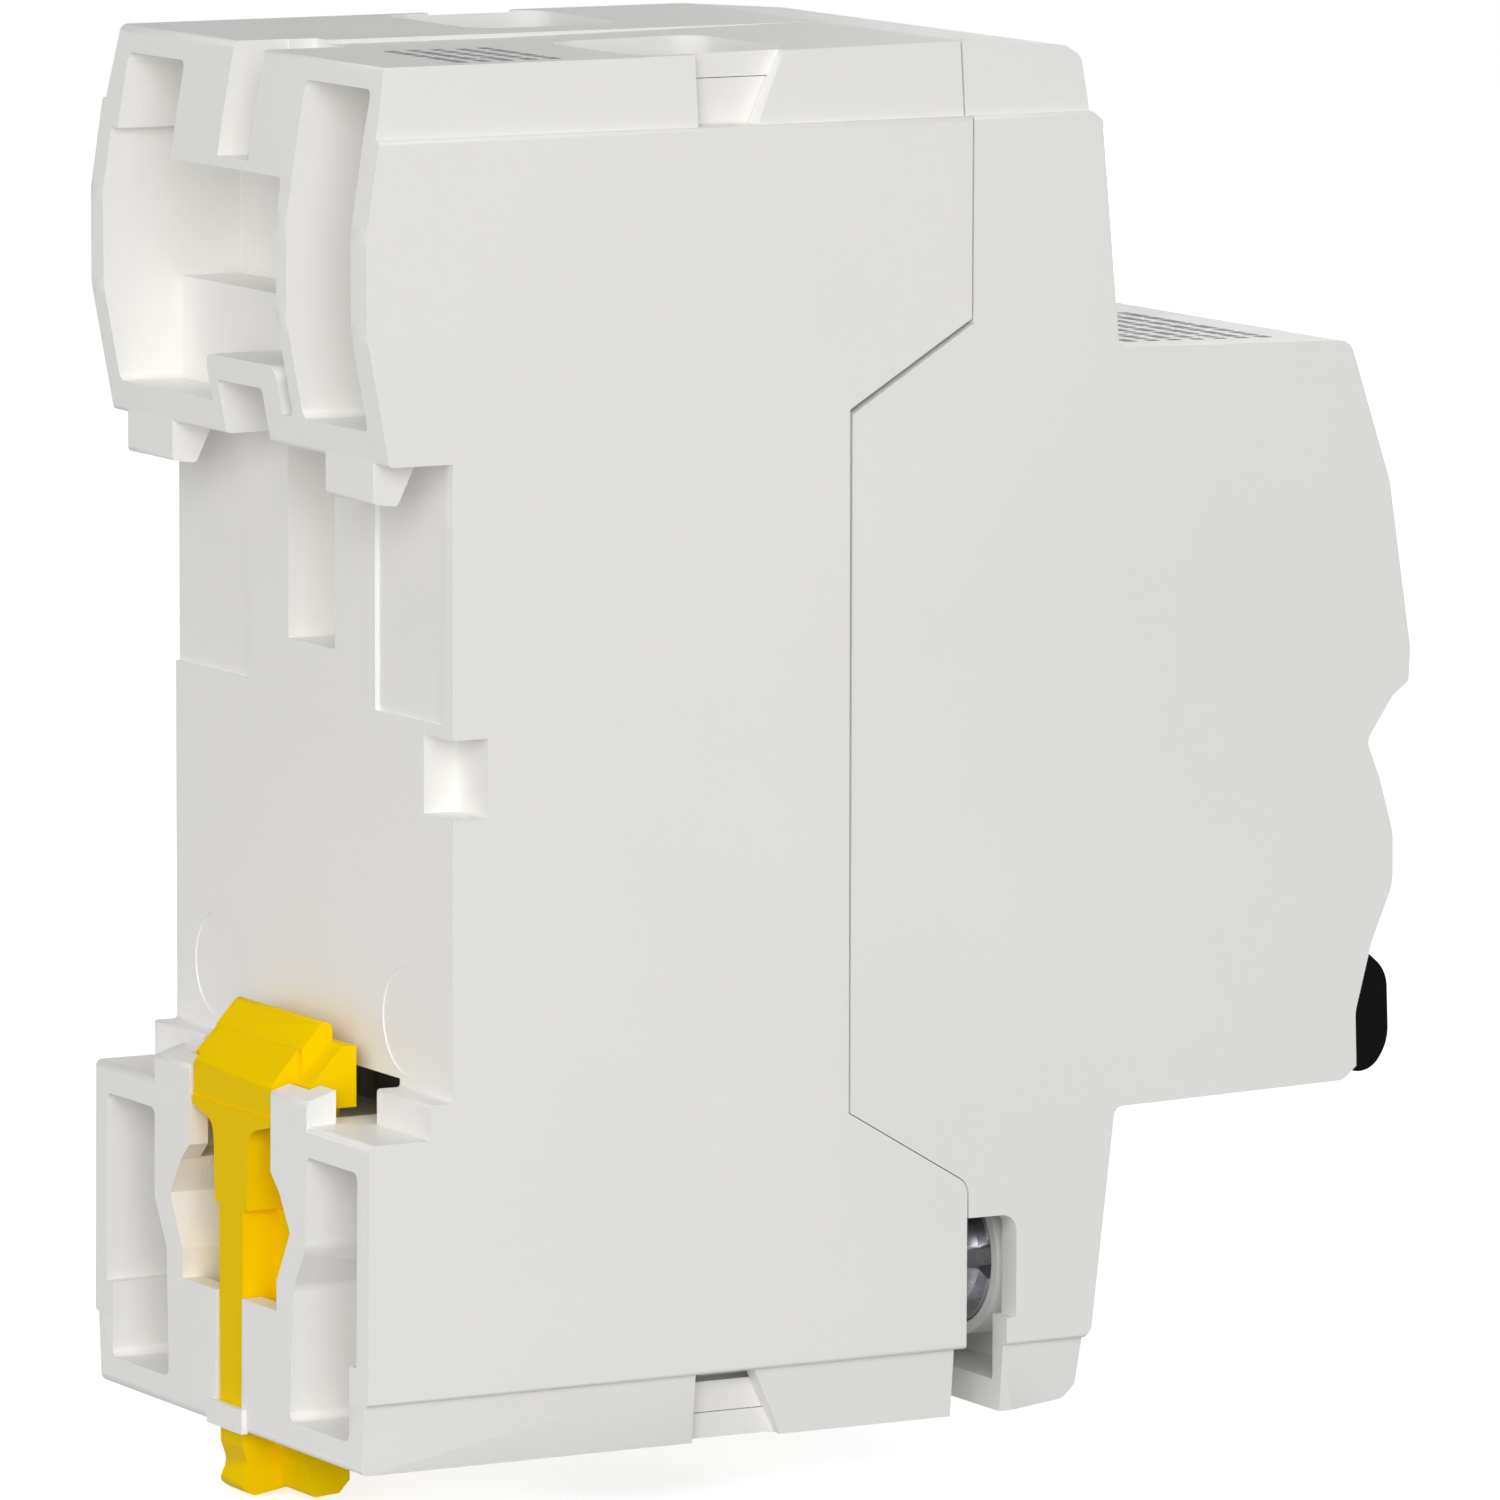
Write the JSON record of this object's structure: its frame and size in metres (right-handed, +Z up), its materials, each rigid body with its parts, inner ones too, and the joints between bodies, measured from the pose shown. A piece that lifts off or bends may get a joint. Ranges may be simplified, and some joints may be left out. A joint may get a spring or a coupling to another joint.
{
  "type": "residual-current circuit breaker",
  "caption": "Modular DIN-rail circuit breaker with a rocking toggle, sliding rail clip, clamp terminals and a hooked back, seen from behind.",
  "frame": {"origin": "middle of the rear seat face that rests on the 35 mm rail: mid-width, mid-height of the rail seat", "axes": "+X is the width, to the right seen from the front; +Y points back, out of the rail side; -Y is the front with the toggle; +Z is up"},
  "size_m": [0.036, 0.0753, 0.0854],
  "materials": {
    "housing_plastic": "fine satin moulded polyamide, warm white-grey",
    "cover_plastic": "fine satin moulded polyamide, warm white-grey",
    "label_plastic": "smooth white, blank",
    "clip_plastic": "semi-gloss moulded yellow",
    "toggle_plastic": "semi-gloss black",
    "carrier_plastic": "moulded dark grey insulating plastic",
    "inner_plastic": "moulded grey plastic",
    "fibre": "pressed fibre board",
    "steel": "zinc-plated steel",
    "spring_steel": "drawn spring wire",
    "copper": "bare copper bar",
    "silver": "silver contact alloy",
    "core_metal": "wound alloy tape core",
    "winding": "enamelled copper wire",
    "board": "glass-fibre circuit board",
    "resistor_body": "lacquered resistor",
    "button_plastic": "smooth grey"
  },
  "bodies": {
    "housing": {"arc_holder_line": "fibre", "arc_holder_neutral": "fibre", "arc_plates_line": "steel", "arc_plates_neutral": "steel", "fixed_tips_line": "silver", "fixed_tips_neutral": "silver", "front_cover": "cover_plastic", "front_label_plate": "label_plastic", "lower_conductor_line": "copper", "lower_conductor_neutral": "copper", "mechanism_frame": "steel", "opening_spring": "spring_steel", "rear_housing": "housing_plastic", "terminal_insert_bottom": "housing_plastic", "terminal_insert_top": "housing_plastic", "test_board": "board", "test_resistor": "resistor_body", "test_spring": "spring_steel", "toggle_pin": "steel", "toroid_case": "inner_plastic", "toroid_core": "core_metal", "toroid_lid": "inner_plastic", "toroid_winding": "winding", "trip_lever_pin": "steel", "trip_relay_case": "inner_plastic", "trip_relay_coil": "winding", "trip_relay_yoke": "steel", "upper_conductor_line": "copper", "upper_conductor_neutral": "copper"},
    "clip": {"din_clip": "clip_plastic"},
    "toggle": {"toggle_lever": "toggle_plastic", "toggle_crank_pin": "steel", "toggle_spring": "spring_steel"},
    "carrier": {"contact_carrier": "carrier_plastic", "moving_contact_line": "copper", "moving_contact_neutral": "copper", "moving_tips_line": "silver", "moving_tips_neutral": "silver", "contact_spring_line": "spring_steel", "contact_spring_neutral": "spring_steel"},
    "plunger": {"trip_plunger": "steel"},
    "latch": {"trip_lever": "inner_plastic"},
    "test": {"test_button": "button_plastic"},
    "screw_top_line": {"terminal_screw_top_line": "steel"},
    "cage_top_line": {"terminal_cage_top_line": "steel"},
    "screw_top_neutral": {"terminal_screw_top_neutral": "steel"},
    "cage_top_neutral": {"terminal_cage_top_neutral": "steel"},
    "screw_bottom_line": {"terminal_screw_bottom_line": "steel"},
    "cage_bottom_line": {"terminal_cage_bottom_line": "steel"},
    "screw_bottom_neutral": {"terminal_screw_bottom_neutral": "steel"},
    "cage_bottom_neutral": {"terminal_cage_bottom_neutral": "steel"}
  },
  "joints": [
    {"name": "toggle_turn", "type": "hinge", "parent": "housing", "child": "toggle", "pos_m": [0, -0.0531, -0.0084], "axis": [-1, 0, 0], "range_deg": [0, 66]},
    {"name": "carrier_slide", "type": "slide", "parent": "housing", "child": "carrier", "axis": [0, 0, -1], "range_m": [0, 0.00708], "deforming": ["opening_spring"]},
    {"name": "clip_slide", "type": "slide", "parent": "housing", "child": "clip", "axis": [0, 0, -1], "range_m": [0, 0.004]},
    {"name": "plunger_slide", "type": "slide", "parent": "housing", "child": "plunger", "axis": [0, -1, 0], "range_m": [0, 0.0007], "stiffness_N_per_m": 300},
    {"name": "latch_turn", "type": "hinge", "parent": "housing", "child": "latch", "pos_m": [0, -0.0328, 0.0164], "axis": [1, 0, 0], "range_deg": [0, 18]},
    {"name": "test_push", "type": "slide", "parent": "housing", "child": "test", "axis": [0, 1, 0], "range_m": [0, 0.0015], "stiffness_N_per_m": 800, "deforming": ["test_spring"]},
    {"name": "screw_turn_top_line", "type": "hinge", "parent": "housing", "child": "screw_top_line", "pos_m": [-0.01, -0.0364, 0.0315], "axis": [0, 1, 0], "range_deg": [0, 2160]},
    {"name": "cage_slide_top_line", "type": "slide", "parent": "housing", "child": "cage_top_line", "axis": [0, -1, 0], "range_m": [0, 0.0048]},
    {"name": "screw_turn_top_neutral", "type": "hinge", "parent": "housing", "child": "screw_top_neutral", "pos_m": [0.01, -0.0364, 0.0315], "axis": [0, 1, 0], "range_deg": [0, 2160]},
    {"name": "cage_slide_top_neutral", "type": "slide", "parent": "housing", "child": "cage_top_neutral", "axis": [0, -1, 0], "range_m": [0, 0.0048]},
    {"name": "screw_turn_bottom_line", "type": "hinge", "parent": "housing", "child": "screw_bottom_line", "pos_m": [-0.01, -0.0364, -0.0315], "axis": [0, 1, 0], "range_deg": [0, 2160]},
    {"name": "cage_slide_bottom_line", "type": "slide", "parent": "housing", "child": "cage_bottom_line", "axis": [0, -1, 0], "range_m": [0, 0.0048]},
    {"name": "screw_turn_bottom_neutral", "type": "hinge", "parent": "housing", "child": "screw_bottom_neutral", "pos_m": [0.01, -0.0364, -0.0315], "axis": [0, 1, 0], "range_deg": [0, 2160]},
    {"name": "cage_slide_bottom_neutral", "type": "slide", "parent": "housing", "child": "cage_bottom_neutral", "axis": [0, -1, 0], "range_m": [0, 0.0048]}
  ],
  "couplings": [
    {"joint": "toggle_turn", "follows": "carrier_slide", "rad_per_m": 162.72},
    {"joint": "latch_turn", "follows": "plunger_slide", "rad_per_m": 448.79},
    {"joint": "screw_turn_top_line", "follows": "cage_slide_top_line", "rad_per_m": 7854},
    {"joint": "screw_turn_top_neutral", "follows": "cage_slide_top_neutral", "rad_per_m": 7854},
    {"joint": "screw_turn_bottom_line", "follows": "cage_slide_bottom_line", "rad_per_m": 7854},
    {"joint": "screw_turn_bottom_neutral", "follows": "cage_slide_bottom_neutral", "rad_per_m": 7854}
  ]
}
